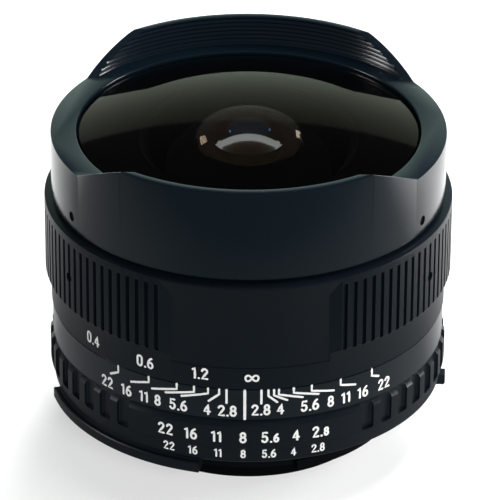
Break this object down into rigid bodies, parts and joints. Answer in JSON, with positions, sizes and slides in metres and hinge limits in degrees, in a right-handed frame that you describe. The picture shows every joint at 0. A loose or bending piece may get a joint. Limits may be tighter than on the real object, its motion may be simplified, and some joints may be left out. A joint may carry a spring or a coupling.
{
  "type": "fisheye lens",
  "caption": "Fisheye photographic lens with a two-petal hood, focus and aperture rings, a working iris and a bayonet mount.",
  "frame": {"origin": "on the optical axis in the plane of the bayonet flange", "axes": "+Z along the optical axis out of the front glass, -Y through the index of the scales, the hood petals stand at +Y and -Y"},
  "size_m": [0.063, 0.063, 0.0551],
  "materials": {
    "black_anodised": "satin black anodised",
    "inner_black": "matt black anodised",
    "mount_black": "satin black chrome",
    "steel": "plain",
    "dark_steel": "black oxide",
    "brass": "turned",
    "lens_glass": "polished and coated"
  },
  "bodies": {
    "fixed": {"bayonet_mount": "mount_black", "mount_screws": "steel", "rear_shield": "inner_black", "fixed_barrel": "inner_black", "guide_keys": "brass", "focus_retainer": "brass", "retainer_screws": "steel", "depth_scale_ring": "black_anodised", "scale_screws": "dark_steel", "click_ball": "steel", "click_spring": "steel"},
    "focus": {"focus_ring": "black_anodised", "focus_helicoid": "brass", "grip_screws": "dark_steel"},
    "aperture": {"aperture_ring": "black_anodised", "drive_fork": "steel"},
    "optics": {"moving_barrel": "inner_black", "hood": "black_anodised", "hood_screws": "dark_steel", "front_ring": "inner_black", "front_glass": "lens_glass", "lens_core": "inner_black", "second_glass": "lens_glass", "second_ring": "inner_black", "third_ring": "inner_black", "third_group": "lens_glass", "iris_housing": "inner_black", "iris_cover": "inner_black", "fourth_group": "lens_glass", "fifth_group": "lens_glass", "sixth_group": "lens_glass", "rear_glass": "lens_glass", "rear_cell": "inner_black", "rear_ring": "inner_black", "filter_ring": "inner_black", "filter_glass": "lens_glass"},
    "cam": {"cam_ring": "dark_steel"},
    "blade_1": {"iris_blade_1": "dark_steel"},
    "blade_2": {"iris_blade_2": "dark_steel"},
    "blade_3": {"iris_blade_3": "dark_steel"},
    "blade_4": {"iris_blade_4": "dark_steel"},
    "blade_5": {"iris_blade_5": "dark_steel"},
    "blade_6": {"iris_blade_6": "dark_steel"}
  },
  "joints": [
    {"name": "focus_turn", "type": "hinge", "parent": "fixed", "child": "focus", "pos_m": [0, 0, 0.01445], "axis": [0, 0, 1], "range_deg": [0, 76.2]},
    {"name": "focus_slide", "type": "slide", "parent": "fixed", "child": "optics", "axis": [0, 0, 1], "range_m": [0, 0.00118]},
    {"name": "aperture_turn", "type": "hinge", "parent": "fixed", "child": "aperture", "pos_m": [0, 0, 0.00145], "axis": [0, 0, 1], "range_deg": [-22.5, 22.5]},
    {"name": "cam_turn", "type": "hinge", "parent": "optics", "child": "cam", "pos_m": [0, 0, 0.01921], "axis": [0, 0, 1], "range_deg": [-22.5, 22.5]},
    {"name": "blade_1_turn", "type": "hinge", "parent": "optics", "child": "blade_1", "pos_m": [0.013, 0, 0.02187], "axis": [0, 0, 1], "range_deg": [-12.82, 12.82]},
    {"name": "blade_2_turn", "type": "hinge", "parent": "optics", "child": "blade_2", "pos_m": [0.0065, 0.01126, 0.02187], "axis": [0, 0, 1], "range_deg": [-12.82, 12.82]},
    {"name": "blade_3_turn", "type": "hinge", "parent": "optics", "child": "blade_3", "pos_m": [-0.0065, 0.01126, 0.02187], "axis": [0, 0, 1], "range_deg": [-12.82, 12.82]},
    {"name": "blade_4_turn", "type": "hinge", "parent": "optics", "child": "blade_4", "pos_m": [-0.013, 0, 0.02187], "axis": [0, 0, 1], "range_deg": [-12.82, 12.82]},
    {"name": "blade_5_turn", "type": "hinge", "parent": "optics", "child": "blade_5", "pos_m": [-0.0065, -0.01126, 0.02187], "axis": [0, 0, 1], "range_deg": [-12.82, 12.82]},
    {"name": "blade_6_turn", "type": "hinge", "parent": "optics", "child": "blade_6", "pos_m": [0.0065, -0.01126, 0.02187], "axis": [0, 0, 1], "range_deg": [-12.82, 12.82]}
  ],
  "couplings": [
    {"joint": "focus_slide", "follows": "focus_turn", "m_per_rad": 0.00088331},
    {"joint": "cam_turn", "follows": "aperture_turn", "ratio": 1},
    {"joint": "blade_1_turn", "follows": "aperture_turn", "ratio": 0.56993},
    {"joint": "blade_2_turn", "follows": "aperture_turn", "ratio": 0.56993},
    {"joint": "blade_3_turn", "follows": "aperture_turn", "ratio": 0.56993},
    {"joint": "blade_4_turn", "follows": "aperture_turn", "ratio": 0.56993},
    {"joint": "blade_5_turn", "follows": "aperture_turn", "ratio": 0.56993},
    {"joint": "blade_6_turn", "follows": "aperture_turn", "ratio": 0.56993}
  ]
}
